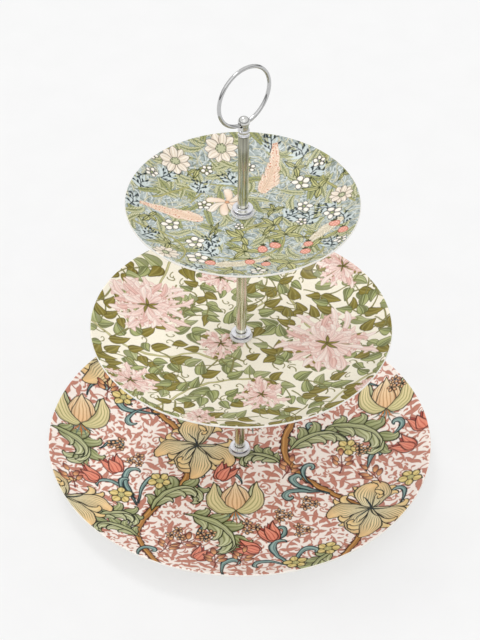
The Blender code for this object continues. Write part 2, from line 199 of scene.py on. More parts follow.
class Painting:
    """A disc of ink cells that shapes are painted onto, one over another."""

    def __init__(self, plate, fineness, ground, seed):
        self.radius = round(plate.radius / MM, 1)
        self.fineness = fineness  # cells per mm
        side = int(2 * self.radius * fineness) + 1
        self.ground = ink(ground)
        self.picture = np.tile(self.ground, (side, side, 1))
        self.random = np.random.default_rng(seed)

    def jitter(self, amount):
        """A random number up to the amount, either way."""
        return self.random.uniform(-amount, amount)

    def either_side(self):
        """1 or -1, at random."""
        return 1 if self.random.random() < 0.5 else -1

    def is_bare(self, points):
        """True if nothing has been painted at any of the points yet."""
        cells = ((np.asarray(points) + self.radius) * self.fineness).astype(int)
        cells = np.clip(cells, 0, len(self.picture) - 1)
        return bool((np.abs(self.picture[cells[:, 1], cells[:, 0]] - self.ground) < SAME_INK).all())

    def window(self, lowest, highest):
        """The cells inside a rectangle, and their coordinates; None if it lies off the disc."""
        side = len(self.picture)
        first = np.clip(((np.asarray(lowest) + self.radius) * self.fineness).astype(int), 0, side)
        last = np.clip(((np.asarray(highest) + self.radius) * self.fineness).astype(int) + 2, 0, side)
        if (last - first).min() < 1 or np.hypot(*np.clip(0, lowest, highest)) > self.radius:
            return None
        u = np.arange(first[0], last[0], dtype=np.float32) / self.fineness - self.radius
        v = np.arange(first[1], last[1], dtype=np.float32) / self.fineness - self.radius
        return (slice(first[1], last[1]), slice(first[0], last[0])), u[None, :], v[:, None]

    def lay(self, cells, colour, cover):
        """Lays a colour over the cells."""
        self.picture[cells] += cover[..., None] * (colour - self.picture[cells])

    def cover(self, depth):
        """How much of each cell is covered, by its depth in mm inside an edge: the edge is one cell soft."""
        return np.clip(depth * self.fineness + 0.5, 0, 1)

    def ribbon(self, path, half_width, look, shape=leaf_shape):
        """A shape along a path, its half width given by the shape function at each share of its length."""
        path = np.asarray(path, np.float32)
        reach = half_width + look.edge_width + 1 / self.fineness
        found = self.window(path.min(axis=0) - reach, path.max(axis=0) + reach)
        if not found:
            return
        cells, u, v = found
        start, stride = path[:-1], np.diff(path, axis=0)
        lengths = np.hypot(*stride.T)
        total = lengths.sum()
        before = np.cumsum(lengths) - lengths
        off_u, off_v = u[..., None] - start[:, 0], v[..., None] - start[:, 1]
        part = np.clip((off_u * stride[:, 0] + off_v * stride[:, 1]) / lengths**2, 0, 1)
        gap = np.hypot(off_u - part * stride[:, 0], off_v - part * stride[:, 1])
        nearest = gap.argmin(axis=-1)[..., None]

        def pick(values):
            return np.take_along_axis(values, nearest, axis=-1)[..., 0]

        side = np.sign(pick(stride[:, 0] * off_v - stride[:, 1] * off_u))
        share = pick((before + part * lengths) / total)
        gap = pick(gap)
        half = half_width * shape(share, side)
        step = 0.02
        slope = half_width * (shape(share + step, side) - shape(share - step, side)) / (2 * step * total)
        inside = (half - gap) / np.sqrt(1 + np.clip(slope, -3, 3) ** 2)
        cover = self.cover(inside)
        if cover.max() > 0:
            across = np.clip(gap / np.maximum(half, 0.01), 0, 1)
            self.lay(cells, self.inked(look, share, side, across, gap, inside), cover)

    def inked(self, look, share, side, across, gap, inside):
        """The colours inside a ribbon."""
        colour = flat_ink(look.fill, share)
        if look.tip:
            colour += share[..., None] ** 1.3 * (ink(look.tip) - ink(look.fill))
        colour *= (np.where(side < 0, look.back, 1.0) * (1 - 0.1 * across**2))[..., None]
        if look.lines:
            stripe = np.abs((across * side * look.line_count + 0.25) % 1.0 - 0.5) * 2
            strength = np.clip((stripe - 0.62) * 5, 0, 1) * np.clip((look.line_reach - share) * 5, 0, 1)
            self.mix(colour, look.lines, 0.8 * strength)
        if look.rib:
            self.mix(colour, look.rib, self.cover(RIB_WIDTH - gap) * (share < 0.9))
        if look.edge:
            self.mix(colour, look.edge, self.cover(look.edge_width - inside))
        return colour

    @staticmethod
    def mix(colour, code, strength):
        """Mixes an ink into the colours."""
        colour += strength[..., None] * (ink(code) - colour)

    def dot(self, centre, radius, fill, edge="", edge_width=0.3):
        """A round dot, outlined if it has an edge."""
        found = self.window(np.asarray(centre) - radius - 1, np.asarray(centre) + radius + 1)
        if not found:
            return
        cells, u, v = found
        inside = radius - np.hypot(u - centre[0], v - centre[1])
        colour = flat_ink(fill, inside)
        if edge:
            self.mix(colour, edge, self.cover(edge_width - inside))
        self.lay(cells, colour, self.cover(inside))

    def petals(self, centre, radius, half_width, look, shape, turn, start):
        """A ring of five petals round a centre; start is where they begin, as a share of the radius."""
        for i in range(5):
            heading = turn + 72 * i
            base = centre + start * radius * heading_vector(heading)
            self.ribbon(sweep(base, heading, radius * (1 - start), steps=5), half_width, look, shape)

    def sprig(self, path, pairs, size, half_width, looks, stem, stem_width, slant, bend, first):
        """A thin stem with pairs of leaves that lean towards its tip; leaves with no room are left out."""
        self.ribbon(path, stem_width, stem, stem_shape)
        tip_heading = along(path, 1.0)[1]
        places = [(path[-1], tip_heading, 0, 0.8)]
        for i in range(pairs):
            point, heading = along(path, first + (1 - first) * i / pairs)
            places += [(point, heading + side * slant, side, 1 - 0.3 * i / pairs) for side in (-1, 1)]
        for point, heading, side, scale in places:
            length = size * scale * (1 + self.jitter(0.15))
            leaf = sweep(point, heading, length, -side * bend)
            if self.is_bare(leaf[3:]):
                look = looks[self.random.integers(len(looks))]
                self.ribbon(leaf, half_width * scale, look, heart_shape)

    def each(self, motif, rows):
        """Paints a motif for each row, which gives its place (u, v) and then its own headings and sizes."""
        for u, v, *sizes in rows:
            motif(self, np.array((u, v)), *sizes)

    def scattered(self, spacing, looseness=0.3):
        """Points all over the disc on a loose triangular grid, in an order without rows."""
        rows = int(self.radius / spacing / ROW_SPACING) + 1
        columns = int(self.radius / spacing) + 1
        points = []
        for i in range(-rows, rows + 1):
            for j in range(-columns, columns + 1):
                point = np.array([(j + 0.5 * (i % 2)) * spacing, i * spacing * ROW_SPACING])
                point += self.random.uniform(-looseness, looseness, 2) * spacing
                if np.hypot(*point) < self.radius + spacing:
                    points.append(point)
        self.random.shuffle(points)
        return points

    def inks_at(self, u, v):
        """Linear colours at places on the disc, with the slight waver of a hand-cut block."""
        waver_u = WAVER * np.sin(u / 2.1 + 1.6 * np.sin(v / 3.7))
        waver_v = WAVER * np.sin(v / 2.4 + 1.6 * np.sin(u / 3.1))
        u, v = u + waver_u, v + waver_v
        column = np.clip((u + self.radius) * self.fineness, 0, len(self.picture) - 1.001)
        row = np.clip((v + self.radius) * self.fineness, 0, len(self.picture) - 1.001)
        i, j = row.astype(int), column.astype(int)
        down, right = (row - i)[:, None], (column - j)[:, None]
        near = self.picture[i, j] * (1 - right) + self.picture[i, j + 1] * right
        far = self.picture[i + 1, j] * (1 - right) + self.picture[i + 1, j + 1] * right
        screen = near * (1 - down) + far * down
        return np.where(screen < 0.04045, screen / 12.92, ((screen + 0.055) / 1.055) ** 2.4)


# ---- the bottom print: lilies and scrolls on rose

ROSE = Look("c78673")
LILY = Look("f2ebc6", "f3cd8a", "221d12", 0.72, 0.96, lines="8a835e", line_count=2.2, line_reach=0.7)
LILY_BLADE = Look("f6edc6", "f6ca8c", "221d12", 0.72, 0.95, lines="766f4a", line_count=4.2, line_reach=0.8)
TEAL = Look("86a6a0", "a9c2b8", "172529", 0.8, 0.9, lines="4d6d70", line_count=1.3)
SAGE = Look("b2b884", "e6e6c2", "1f230d", 0.75, 0.9, lines="7f8450", line_count=1.6)
SAGE_LOBE = Look("989f6b", "d5d8aa", "1f230d", 0.75, 0.9, lines="6c7240", line_count=1.6)
TULIP = Look("e98e75", "f3a68c", "4a1a15", 0.72, lines="bf5a48", line_count=1.6)
TULIP_BACK = Look("8a3a32", "b9564a", "451b18")
BROWN = Look("b07a3e", "", "2c1a10", 0.6, lines="dba763", line_count=0.9)
MAROON = Look("6b2c27")
YELLOW = Look("e6cf83", "f2dd9a", "3a3218", 0.7, lines="b59f55", line_count=1.0)
PEACH = Look("f2c796", "f8e6c0", "3a2a1a", 0.6, lines="c08f62", line_count=2.6, line_reach=0.9)
CREAM_PETAL = Look("dcd29c", "f7e3b2", "2e2c1a", 0.7, lines="9c965e", line_count=2.4)
BUD = Look("e8ae78", "6f2a28", "3a1b19", 0.4)
BLOSSOM = Look("f3cfa2", "d99b6b", "241a16", 0.5)
FRINGE = (Look("7f9c97", edge="33412f", edge_width=0.2), Look("dd8c40", edge="5a3420", edge_width=0.2))


LILY_PETALS = (  # heading from the lily's own, length, spread and bend, from the back petal to the front
    (158, 0.98, 8, 45),
    (222, 0.92, 8, -55),
    (-88, 1.00, 10, 35),
    (82, 1.05, 11, -40),
    (-36, 0.95, 10, 45),
    (22, 1.08, 13, -30),
)


def lily(art, centre, turn, radius=33):
    """A wide open lily: each petal is one broad hatched blade between side strips whose ends curl apart."""
    for heading, length, spread, bend in LILY_PETALS:
        for lean in (-1.6, 1.6, -1.0, 1.0):
            reach = radius * length * (1.0 - 0.1 * abs(lean))
            strip = sweep(centre, turn + heading + spread * lean, reach, bend, 150 * lean + bend, steps=18)
            art.ribbon(strip, radius * 0.13, LILY, crook_shape)
        blade = sweep(centre, turn + heading, radius * length, bend, 1.6 * bend, steps=18)
        art.ribbon(blade, radius * 0.25, LILY_BLADE, blade_petal_shape)
    for i in range(6):
        stamen = sweep(centre, turn + 58 * i + 20, radius * (0.34 + 0.12 * (i % 2)), 40)
        art.ribbon(stamen, 0.8, TEAL if i % 2 else CREAM_PETAL, blade_shape)


def tulip(art, base, heading, size=18):
    """A tulip in profile: dark inner tips behind, two leaning petals, and one in front."""
    for lean in (-13, 13):
        art.ribbon(sweep(base, heading + lean, size * 0.98), size * 0.14, TULIP_BACK)
    for lean in (-1, 1):
        path = sweep(base, heading + lean * 38, size * 1.08, -lean * 52, lean * 60, steps=9)
        art.ribbon(path, size * 0.24, TULIP, heart_shape)
    art.ribbon(sweep(base, heading, size * 0.86), size * 0.27, TULIP, heart_shape)


def fringed_bulb(art, base, heading, size=28):
    """A goblet flower: curling outer petals lined with green, a plump heart, and a fringe hanging below."""
    for i in range(11):
        lean = 14 * (i - 5)
        path = sweep(base, heading + 180 + lean, size * (0.5 - 0.0016 * abs(lean)), 2 * lean / 5, steps=5)
        art.ribbon(path, 0.75, FRINGE[i % 2], blade_shape)
    for lean in (-1, 1):
        inner = sweep(base, heading + lean * 74, size * 1.12, -lean * 132, lean * 96, steps=16)
        art.ribbon(inner, size * 0.13, SAGE)
    for lean in (-1, 1, 0):
        heart = sweep(base, heading + lean * 46, size, -lean * 88, steps=10)
        art.ribbon(heart, size * (0.23 + 0.05 * (lean == 0)), PEACH, heart_shape)
    for lean in (-1, 1):
        outer = sweep(base, heading + lean * 102, size * 1.36, -lean * 184, lean * 96, steps=20)
        art.ribbon(outer, size * 0.21, CREAM_PETAL)


def scroll(art, start, heading, length, bend, curl, width):
    """A long tapering leaf that rolls up at its end."""
    art.ribbon(sweep(start, heading, length, bend, 1.5 * curl, steps=26), width, TEAL, crook_shape)


def acanthus(art, start, heading, length, bend, width):
    """A big leaf of pointed lobes that hook outwards from a slim rib, laid from the tip down to the base."""
    path = sweep(start, heading, length, bend, bend * 1.2, steps=18)
    for share in (0.84, 0.67, 0.48, 0.3, 0.12):
        point, turn = along(path, share)
        size = width * (0.45 + 1.15 * sin(pi * (0.12 + 0.8 * share)))
        for side in (-1, 1):
            inner = side * bend > 0
            reach, look = (1.4, SAGE) if inner else (1.05, SAGE_LOBE)
            lobe = sweep(point, turn + 24 * side, size * reach, 15 * side, 150 * side, steps=14)
            art.ribbon(lobe, size * 0.29, look)
    art.ribbon(path, width * 0.22, SAGE)


def thorny_branch(art, points, width=3.0):
    """A thick brown stem with a maroon fringe along one side."""
    path = through(points)
    art.ribbon(path, width + 1.5, MAROON, toothed(len(path) * 0.8, 0.45, stem_shape))
    art.ribbon(path, width, BROWN, stem_shape)


def yellow_flower(art, centre, radius=8.0):
    """Five yellow petals round a seeded eye."""
    art.petals(centre, radius, radius * 0.43, YELLOW, round_shape, art.jitter(40) + 90, 0.1)
    art.dot(centre, radius * 0.34, "c9c283", "4a4124", 0.4)
    for i in range(6):
        art.dot(centre + radius * 0.18 * heading_vector(60 * i), 0.35, "80774a")


def bud_spray(art, start, heading, length=17, size=6.2):
    """A thin stem with plump dark-tipped buds in pairs."""
    path = sweep(start, heading, length, 20, steps=8)
    art.ribbon(path, 0.45, MAROON, stem_shape)
    for i in range(3):
        point, turn = along(path, 0.4 + 0.3 * i)
        for side in (-1, 1) if i < 2 else (0,):
            stalk = sweep(point, turn + 55 * side, size * 0.7, -10 * side, steps=3)
            art.ribbon(stalk, 0.35, MAROON, stem_shape)
            bud = sweep(stalk[-1], turn + 45 * side, size, steps=4)
            art.ribbon(bud, size * 0.36, BUD, bud_shape)


def blossom_spray(art, centre, size=3.6):
    """Three small dark-outlined blossoms close together."""
    turn = art.jitter(60)
    for i in range(3):
        place = centre + size * 1.1 * heading_vector(turn + 120 * i)
        art.petals(place, size, size * 0.36, BLOSSOM, round_shape, turn + 25 * i, 0.12)
        art.dot(place, size * 0.2, "33251f")


def filigree(art):
    """Rose scrolls all over the ground: curved stems with hooked leaves, and curls in the gaps."""
    for place in art.scattered(12):
        turn = 90 + 50 * sin(place[0] / 24) + 60 * sin(place[1] / 31) + art.jitter(50)
        side = art.either_side()
        path = sweep(place, turn, 38, 150 * side, 100 * side, steps=16)
        if art.is_bare(path[::2]):
            art.sprig(path, 5, 8.2, 2.1, [ROSE], ROSE, 0.7, 44, -75, 0.04)
    for place in art.scattered(6.0):
        turn = art.jitter(180)
        side = art.either_side()
        curl = sweep(place, turn, 12, 140 * side, 200 * side, steps=10)
        if art.is_bare(curl):
            art.sprig(curl, 1, 5.4, 1.8, [ROSE], ROSE, 0.6, 48, -60, 0.3)
    for place in art.scattered(3.4):
        hook = sweep(place, art.jitter(180), 5.0, 100, 60, steps=5)
        if art.is_bare(hook):
            art.ribbon(hook, 0.9, ROSE, heart_shape)


def bottom_painting():
    art = Painting(PLATES["bottom"], fineness=4.0, ground="fdf2ea", seed=3)
    filigree(art)
    for points in (
        [(-92, 84), (-78, 66), (-64, 44), (-47, 24), (-34, 8)],
        [(-30, -6), (-40, -36), (-58, -58), (-68, -82), (-63, -104), (-48, -134)],
        [(58, 66), (36, 26), (32, -4), (46, -28), (70, -46), (86, -58)],
        [(86, -62), (84, -84), (66, -122)],
        [(14, 134), (-6, 92), (4, 66), (34, 30)],
    ):
        thorny_branch(art, points)
    art.each(scroll, (
        (-58, 36, 168, 44, 30, -230, 3.6), (-62, 40, 120, 34, 50, 190, 3.4),
        (-66, 42, 196, 30, 60, 120, 3.2), (-70, -56, 108, 46, 25, -150, 3.6),
        (-69, -54, 86, 40, -20, -150, 3.4), (-71, -50, 128, 40, 15, 120, 2.8),
        (-72, -46, 150, 26, -40, -160, 2.8), (62, -42, 160, 42, 28, -230, 3.8),
        (58, -40, 190, 38, -60, 250, 3.6), (50, -34, 128, 32, -50, -210, 3.2),
        (2, -34, 100, 28, 90, 180, 3.2), (-26, -38, 150, 26, -120, -180, 3),
        (38, -124, 118, 48, 28, -150, 3.6), (40, -124, 96, 40, -24, -170, 3.6),
        (36, -122, 140, 36, 30, 130, 3), (-10, -132, 100, 34, -40, -160, 3.6),
        (-66, -118, 100, 28, -70, -170, 3.4), (88, -20, 70, 28, 40, -190, 3.2),
        (104, 12, 20, 28, 70, 170, 3.2), (100, 62, 150, 36, 40, -200, 3.4), (30, 66, 80, 36, 50, 180, 3.4),
        (-16, -70, 205, 30, 60, 200, 3), (110, -60, 60, 30, 60, 190, 3),
        (-98, -2, 60, 26, -60, -200, 3), (20, -90, 20, 28, 50, 210, 2.8),
        (64, 22, 200, 26, -50, -200, 3), (-110, 48, 80, 30, -60, -190, 3.2),
    ))
    art.each(acanthus, (
        (-60, -62, 80, 50, -80, 11), (-38, -64, -6, 60, -65, 12), (-66, -92, 125, 38, 70, 9),
        (34, -2, 62, 52, -60, 10.5), (60, 24, 22, 60, -85, 12.5), (30, -14, 130, 34, 60, 8.5),
        (-133, 8, 8, 44, -85, 12), (8, 96, 30, 50, 70, 11), (-78, 84, 60, 48, -70, 11),
        (66, -104, 210, 46, 70, 10), (-98, -78, 60, 36, -70, 9), (116, -86, 110, 34, 60, 8.5),
        (-20, 40, 200, 34, 60, 8.5),
    ))
    art.each(lily, (
        (-30, 4, 265), (90, -60, 255), (-118, -62, 300), (40, 92, 250), (-96, 88, 240),
    ))
    art.each(fringed_bulb, (
        (-112, 20, 92), (-2, -60, 92), (104, 40, 88), (-40, 106, 90), (8, 30, 80),
    ))
    art.each(tulip, (
        (-84, -24, 118), (-97, -34, 150), (14, -100, 158), (25, -88, 120), (122, -4, 140), (130, 12, 110),
        (-14, -30, 60), (62, 74, 120), (-60, 76, 130), (-28, -112, 60),
    ))
    art.each(yellow_flower, (
        (-55, -32), (-81, -47), (60, -101), (38, -116), (76, 4), (-84, 52), (118, -34), (-100, -100),
    ))
    art.each(bud_spray, (
        (-112, -48, 100), (-16, -122, 80), (70, -22, 75), (98, -34, 110), (-2, -118, 60), (30, -28, 60),
        (-52, -108, 60), (60, 36, 120), (-96, 48, 80), (-44, -96, 20),
    ))
    art.each(blossom_spray, (
        (-86, 4), (-72, -12), (30, -64), (43, -78), (-42, -84), (-22, -84), (86, 2), (112, 60), (48, -52),
        (8, -76),
    ))
    return art


# ---- the middle print: pink blooms among leaves

OLIVE_LEAF = Look("776b28", "91863e", "4a4016", 0.35, 1.12, lines="9d9450", line_count=1.3)
TWO_TONE_LEAF = Look("9aa062", "c6c88e", "474d22", 0.35, 0.76, lines="b9c08a", line_count=1.4, rib="4f5a2c")
PALE_LEAF = Look("b4b882", "dcdcb2", "5f6536", 0.35, 0.82, lines="969d62", line_count=1.5, rib="737a44")
VINE = Look("8f8b52", edge="6b6535", edge_width=0.2)
PALE_VINE = Look("cfc897", edge="8f8a52", edge_width=0.3, lines="b0a970", line_count=0.8)
PINK = Look("f1cfc5", "fde9df", "d39f95", 0.22, lines="e4b8ae", line_count=1.2)
PINK_LIGHT = Look("f7dfd4", "fff3ea", "dcb0a6", 0.2, lines="eecdc2", line_count=1.2)
PINK_DEEP = Look("e6b5aa", "f4d3c8", "c48c82", 0.22, lines="d39d92", line_count=1.0)


def trumpet_bloom(art, centre, radius):
    """A loose crown of slim trumpets of uneven length, opened out from one point, with split mouths."""
    turn = art.jitter(30)
    for ring, reach in enumerate((1.0, 0.8, 0.56)):
        looks = ((PINK, PINK_LIGHT), (PINK_LIGHT, PINK_DEEP), (PINK, PINK_LIGHT))[ring]
        count = int(8 + radius / 2.4) - 3 * ring
        for i in range(count):
            heading = turn + 20 * ring + 360 * i / count + art.jitter(9)
            length = radius * reach * (0.84 + 0.16 * sin(3.3 * i + turn)) * (1 + art.jitter(0.12))
            bend = art.jitter(45)
            path = sweep(centre, heading, length, bend, bend, steps=8)
            tip, tip_heading = along(path, 0.8)
            for side in (-1, 1):
                mouth = sweep(tip, tip_heading + 50 * side, 0.1 * radius + 1.8, 70 * side, steps=5)
                art.ribbon(mouth, 0.035 * radius + 0.35, looks[(i + 1) % 2])
            art.ribbon(path, radius * 0.04 + 0.9, looks[i % 2], trumpet_shape)
    for i in range(5):
        path = sweep(centre, turn + 77 * i, radius * 0.24, 30, steps=4)
        art.ribbon(path, radius * 0.035, OLIVE_LEAF)


def middle_painting():
    art = Painting(PLATES["middle"], fineness=4.5, ground="fbf4e2", seed=11)
    for points in (
        [(40, 88), (30, 62), (28, 48), (14, 34), (-6, 16)],
        [(30, 62), (34, 40), (44, 14), (54, 0)],
        [(-74, -110), (-44, -66), (-30, -52), (-6, -44), (26, -42)],
        [(-110, 8), (-76, -14), (-50, -22), (-30, -18), (-8, -30)],
        [(-40, 96), (-52, 66), (-60, 40)],
        [(96, -40), (70, -58), (50, -86)],
    ):
        art.ribbon(through(points), 1.1, PALE_VINE, stem_shape)
    leaves = [OLIVE_LEAF, TWO_TONE_LEAF, OLIVE_LEAF, PALE_LEAF, TWO_TONE_LEAF]
    for place in art.scattered(16, 0.25):
        if art.is_bare([place]):
            turn = 40 * sin(place[0] / 30) + 70 * cos(place[1] / 26) + art.jitter(110)
            bend = art.jitter(80)
            path = sweep(place, turn, 32, bend, bend, steps=10)
            art.sprig(path, 3, 14, 4.8, leaves, VINE, 0.6, 54, 34, 0.08)
    for place in art.scattered(8.5):
        if art.is_bare([place, place + 1.5, place - 1.5]):
            turn = art.jitter(180)
            leaf = sweep(place, turn, 10.5, art.jitter(50))
            if art.is_bare(leaf[2:]):
                art.ribbon(leaf, 3.7, leaves[art.random.integers(5)], heart_shape)
            art.ribbon(sweep(place, turn + 160, 9, 120, 160, steps=8), 0.4, VINE, stem_shape)
    art.each(trumpet_bloom, (
        (-64, 30, 33), (58, -6, 36), (-14, -8, 18), (14, -58, 19), (-72, -52, 19), (70, 66, 21),
        (-15, 62, 17), (-30, 90, 14), (84, -62, 13), (-26, -88, 13),
    ))
    return art


# ---- the top print: small flowers on blue-grey

SAGE_FROND = Look("d0cda3", "e6e3c4", "767c50", 0.2)
MOSS_FROND = Look("a9ab74", "c8c892", "5d6438", 0.2)
BLUE_GRASS = Look("d8dedb")
GREY_GRASS = Look("848e8a")
CREAM_GRASS = Look("e8e3cc", edge="84855f", edge_width=0.15)
DARK_LEAF = Look("d3d096", "bcb974", "2c3216", 0.4, 0.9, rib="3b4119")
CREAM = Look("f1e3d0", "fbf3e6", "5e4b3e", 0.28, lines="d9c6ae", line_count=1.3)
WHITE = Look("f6ecdf", "fffaf0", "3c382f", 0.38)
SPRIG = Look("232f32")
SPRIG_GROUND = Look("d0dad8")
PEACH_STRAND = Look("f3d6bc", "fbecdc", "c69c7c", 0.16)
CREAM_STRAND = Look("eee3ca", "fbf5e6", "a3906e", 0.18)
OLIVE_STEM = Look("b3ae72", edge="76763f", edge_width=0.25)


def small_flower(art, centre, radius):
    """Five white petals with dark outlines round a green eye."""
    art.petals(centre, radius, radius * 0.38, WHITE, round_shape, art.jitter(40), 0.12)
    art.dot(centre, radius * 0.24, "a4ab7c", "3c382f")


def anemone(art, centre, radius, turn):
    """Two rings of cream petals round a dark-stamened eye."""
    art.petals(centre, radius, radius * 0.28, CREAM, oval_shape, turn + 36, 0.1)
    art.petals(centre, radius, radius * 0.27, CREAM, oval_shape, turn, 0.1)
    art.dot(centre, radius * 0.3, "bfc09c", "6d7458")
    for i in range(14):
        art.dot(centre + radius * (0.22 + 0.07 * (i % 2)) * heading_vector(26 * i), 0.4, "3f4632")


def berry(art, centre, radius=3.4):
    """A plump seeded berry, hanging from a small leafy cap."""
    art.dot(centre, radius, "e59c88", "a5513f", 0.35)
    for i in range(7):
        art.dot(centre + radius * (0.62 if i else 0.0) * heading_vector(60 * i), 0.42, "f9d3c2")
    cap = centre + radius * heading_vector(90)
    for i in range(3):
        art.ribbon(sweep(cap, 30 + 60 * i, radius * 0.75, steps=4), 0.7, DARK_LEAF)


def black_sprig(art, centre, turn, size=13):
    """A tiny dark twig with seed-like leaves, on a ragged pale blue patch."""
    start = centre - size * 0.5 * heading_vector(turn)
    path = sweep(start, turn, size, 40)
    for i in range(7):
        reach = size * (1.1 - 0.12 * abs(i - 3))
        patch = sweep(start, turn + 18 * (i - 3) + art.jitter(8), reach, 30, steps=4)
        art.ribbon(patch, size * 0.1, SPRIG_GROUND)
    art.ribbon(path, 0.34, SPRIG, stem_shape)
    for i in range(6):
        point, heading = along(path, 0.1 + 0.17 * i)
        side = 1 if i % 2 else -1
        twig = sweep(point, heading + 48 * side, size * 0.36, 30 * side, steps=4)
        art.ribbon(twig, 0.26, SPRIG, stem_shape)
        for end in (twig[2], twig[-1]):
            art.ribbon(sweep(end, heading + art.jitter(70), 2.3, steps=3), 0.7, SPRIG, bud_shape)


def plume(art, start, heading, length, half_width, look, speckle):
    """A feathery plume, speckled with seeds: strands part from a curved spine and close towards its tip."""
    rows = int(length / 1.5)
    spine = sweep(start, heading, length, 25, steps=rows)
    for i in reversed(range(rows)):
        point, turn = spine[i], along(spine, i / rows)[1]
        size = 1.9 * half_width * min(1.0, 0.5 + 4.0 * i / rows) * (1 - 0.85 * i / rows)
        for side in (-1, 1):
            strand = sweep(point, turn + side * (58 + art.jitter(8)), size, -side * 55)
            art.ribbon(strand, 1.05, look)
            art.dot(strand[3] + (art.jitter(0.6), art.jitter(0.6)), 0.42, speckle)
    art.ribbon(spine, 0.5, look, stem_shape)


def frond(art, start, length=17, leaflet=7.5):
    """A feathery frond: slim hooked leaflets in pairs along a curved rib."""
    heading = art.jitter(180)
    look = (SAGE_FROND, MOSS_FROND, SAGE_FROND)[art.random.integers(3)]
    path = sweep(start, heading, length, art.jitter(80), steps=8)
    for i in range(1, 8):
        turn = along(path, i / 8)[1]
        size = leaflet * sin(pi * (0.15 + 0.75 * i / 8))
        for side in (-1, 1):
            art.ribbon(sweep(path[i], turn + 44 * side, size, -60 * side, steps=5), 0.62, look)
    art.ribbon(path, 0.32, MOSS_FROND, stem_shape)


def dark_star(art, centre, radius, turn):
    """A tuft of pointed leaves with dark edges and ribs."""
    for i in range(4):
        path = sweep(centre, turn + 62.5 * i, radius * (1 + art.jitter(0.25)), art.jitter(60))
        art.ribbon(path, radius * 0.2, DARK_LEAF, lobed(3.0, 0.3))


def open_bloom(art, centre, radius):
    """A bloom of seven curled petals, peach and cream by turns, round a small eye."""
    for i in range(7):
        petal = sweep(centre, 150 + 47 * i, radius + 2 * (i % 2), 35, 50, steps=8)
        art.ribbon(petal, 4.2, (PEACH_STRAND, CREAM)[i % 2], lobed(2.0, 0.15, petal_shape))
    art.dot(centre, 1.6, "d9a27c", "6f5847")


def top_painting():
    art = Painting(PLATES["top"], fineness=5.5, ground="a8b2af", seed=5)
    for look, spacing, length in ((GREY_GRASS, 4.6, 9), (BLUE_GRASS, 4.2, 9), (CREAM_GRASS, 6, 14)):
        for place in art.scattered(spacing):
            turn = 60 * sin(place[0] / 15) + 60 * cos(place[1] / 13) + art.jitter(60)
            art.ribbon(sweep(place, turn, length, art.jitter(150)), 0.5, look, blade_shape)
    for place in art.scattered(12.5):
        frond(art, place)
    for points in (
        [(-52, 58), (-36, 40), (-26, 26), (-34, 10)],
        [(-58, 12), (-40, 24), (-24, 30), (-6, 28)],
        [(58, 60), (52, 36), (62, 20), (72, 4)],
        [(-70, -20), (-48, -26), (-36, -42), (-40, -60)],
        [(-4, -22), (18, -8), (26, -30), (6, -48), (-20, -46)],
        [(40, -60), (52, -40), (40, -24), (60, -18)],
    ):
        art.ribbon(through(points), 0.9, OLIVE_STEM, stem_shape)
    art.each(black_sprig, (
        (-48, 35, 30), (-27, 27, 60), (-8, 37, 100), (-66, 24, 80), (-70, 3, 70), (-18, -30, 80),
        (-20, -40, 95), (33, -2, 20), (44, -5, 60), (20, 66, 70), (38, 60, 110), (66, -10, 80),
        (-30, -64, 160), (-58, -30, 40), (50, 42, 30), (10, -68, 20), (58, -36, 70), (54, 6, 150),
    ))
    art.each(dark_star, (
        (0, -25, 13, 100), (20, -12, 12, 60), (28, -22, 12, 10), (50, -30, 12, 30), (30, -56, 14, 150),
        (50, 25, 11, 70), (2, -40, 11, 20), (-6, -64, 12, 130), (20, 4, 8, 40), (-17, -17, 7, 90),
        (-46, -36, 10, 120), (-30, 44, 9, 200), (66, 34, 8, 250), (-60, -8, 9, 200), (34, 46, 9, 300),
    ))
    art.each(plume, (
        (-26, -8, 152, 42, 6, PEACH_STRAND, "c46a4c"), (12, 22, 66, 46, 7, PEACH_STRAND, "c46a4c"),
        (-18, -57, 4, 38, 4.4, CREAM_STRAND, "cdb892"), (64, -10, 214, 38, 4.6, CREAM_STRAND, "cdb892"),
    ))
    art.each(open_bloom, (
        (-10, 11, 14),
    ))
    art.each(anemone, (
        (-15, 63, 11.5, 10), (-45, 48, 10.5, 30), (-48, -50, 8.5, 0), (64, 14, 8, 0),
    ))
    art.each(small_flower, (
        (-24, 44, 4.4), (38, 32, 6.4), (40, 8, 5.4), (-46, -14, 6), (-30, -31, 6), (-25, 8, 4.6),
        (-28, -50, 7), (58, -2, 6), (10, -66, 5.5), (4, 48, 4), (-60, 34, 4), (50, 48, 4.5),
        (62, -36, 4.5), (-60, 48, 3.6), (-2, -14, 3.6), (38, -8, 3.6),
    ))
    art.each(berry, (
        (13, -37), (21, -33), (42, -33), (40, -42), (-20, -55), (5, -52), (15, -55), (59, -14), (64, -24),
    ))
    return art


PRINTS = {  # each print's painting, and the size of its mesh's cells in mm
    "bottom": (bottom_painting, 0.4),
    "middle": (middle_painting, 0.36),
    "top": (top_painting, 0.32),
}


# ---- sizes and bodies, from the frame

BODIES = {node: body for body, nodes in frame["record"]["behaviour"]["bodies"].items() for node in nodes}
GAP = 0.3 * MM  # the frame's play between neighbours, closed here where the real pieces touch
SLIP = 0.02 * MM  # left between pieces that turn on each other
VIEW_AZIMUTH = radians(-42)
VIEW_ELEVATION = radians(39.56)
RIM_SLOPE = radians(28)
LIP_RADIUS = 0.9 * MM
UP = pi / 2  # the direction of an arc's highest point; -UP is its lowest


def low(node):
    """The lowest corner of a node's CAD box."""
    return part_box(node)[0]


def high(node):
    """The highest corner of a node's CAD box."""
    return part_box(node)[1]


